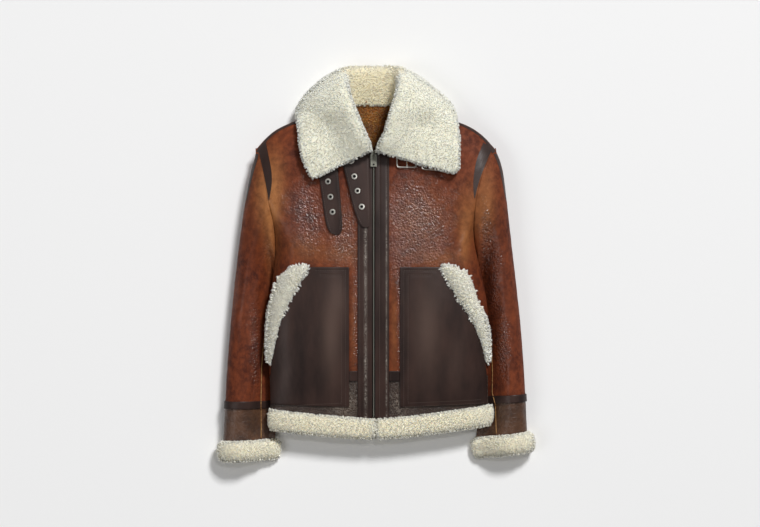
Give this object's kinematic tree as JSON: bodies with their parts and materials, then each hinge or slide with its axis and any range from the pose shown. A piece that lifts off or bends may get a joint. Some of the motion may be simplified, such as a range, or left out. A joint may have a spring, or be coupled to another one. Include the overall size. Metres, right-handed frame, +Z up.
{
  "type": "shearling aviator jacket",
  "caption": "Leather aviator jacket with a wide shearling collar, hem, cuffs and pocket trims, zipped and lying flat on its back.",
  "frame": {"origin": "bottom centre of the jacket's box, on the surface it lies on", "axes": "+Z up from the surface, +Y from the hem to the collar, +X towards the wearer's left"},
  "size_m": [0.6024, 0.7476, 0.1058],
  "materials": {
    "brown_leather": "glossy, crinkled",
    "dark_leather": "satin, smooth",
    "crackled_leather": "glossy, crackled",
    "cream_shearling": "curly pile",
    "brown_pile": "short pile",
    "buckle_metal": "polished nickel",
    "eyelet_metal": "satin nickel",
    "zip_metal": "aged nickel"
  },
  "bodies": {
    "jacket": {"front_right": "brown_leather", "hem_band_right": "crackled_leather", "sleeve_right": "brown_leather", "cuff_band_right": "crackled_leather", "pocket_right": "dark_leather", "pocket_fur_right": "cream_shearling", "placket_right": "dark_leather", "waist_tape_right": "dark_leather", "shoulder_tape_right": "dark_leather", "armhole_tape_right": "dark_leather", "sleeve_tape_right": "dark_leather", "cuff_tape_right": "dark_leather", "cuff_fur_right": "cream_shearling", "hem_fur_right": "cream_shearling", "front_left": "brown_leather", "hem_band_left": "crackled_leather", "sleeve_left": "brown_leather", "cuff_band_left": "crackled_leather", "pocket_left": "dark_leather", "pocket_fur_left": "cream_shearling", "placket_left": "dark_leather", "waist_tape_left": "dark_leather", "shoulder_tape_left": "dark_leather", "armhole_tape_left": "dark_leather", "sleeve_tape_left": "dark_leather", "cuff_tape_left": "dark_leather", "cuff_fur_left": "cream_shearling", "hem_fur_left": "cream_shearling", "back": "brown_leather", "hem_band_back": "crackled_leather", "waist_tape_back": "dark_leather", "hem_fur_back": "cream_shearling", "back_lining": "brown_pile", "collar": "cream_shearling", "strap_outer": "dark_leather", "strap_outer_eyelet_1": "eyelet_metal", "strap_outer_eyelet_2": "eyelet_metal", "strap_outer_eyelet_3": "eyelet_metal", "strap_inner": "dark_leather", "strap_inner_eyelet_1": "eyelet_metal", "strap_inner_eyelet_2": "eyelet_metal", "strap_inner_eyelet_3": "eyelet_metal", "strap_inner_eyelet_4": "eyelet_metal", "buckle_frame_1": "buckle_metal", "buckle_tab_1": "brown_leather", "buckle_frame_2": "buckle_metal", "buckle_tab_2": "brown_leather", "zip_chain": "zip_metal", "zip_slider": "zip_metal"},
    "zip_pull": {"zip_pull": "zip_metal"},
    "buckle_prong_1": {"buckle_prong_1": "buckle_metal"},
    "buckle_prong_2": {"buckle_prong_2": "buckle_metal"}
  },
  "joints": [
    {"name": "zip_pull_hinge", "type": "hinge", "parent": "jacket", "child": "zip_pull", "pos_m": [-0.00445, 0.20466, 0.07068], "axis": [-1, 0, 0], "range_deg": [0, 85]},
    {"name": "buckle_prong_1_hinge", "type": "hinge", "parent": "jacket", "child": "buckle_prong_1", "pos_m": [0.05758, 0.20696, 0.06804], "axis": [-0.9999, 0, 0.0158], "range_deg": [0, 6]},
    {"name": "buckle_prong_2_hinge", "type": "hinge", "parent": "jacket", "child": "buckle_prong_2", "pos_m": [0.10619, 0.20239, 0.06775], "axis": [-0.9975, 0.0698, -0.0063], "range_deg": [0, 6]}
  ]
}
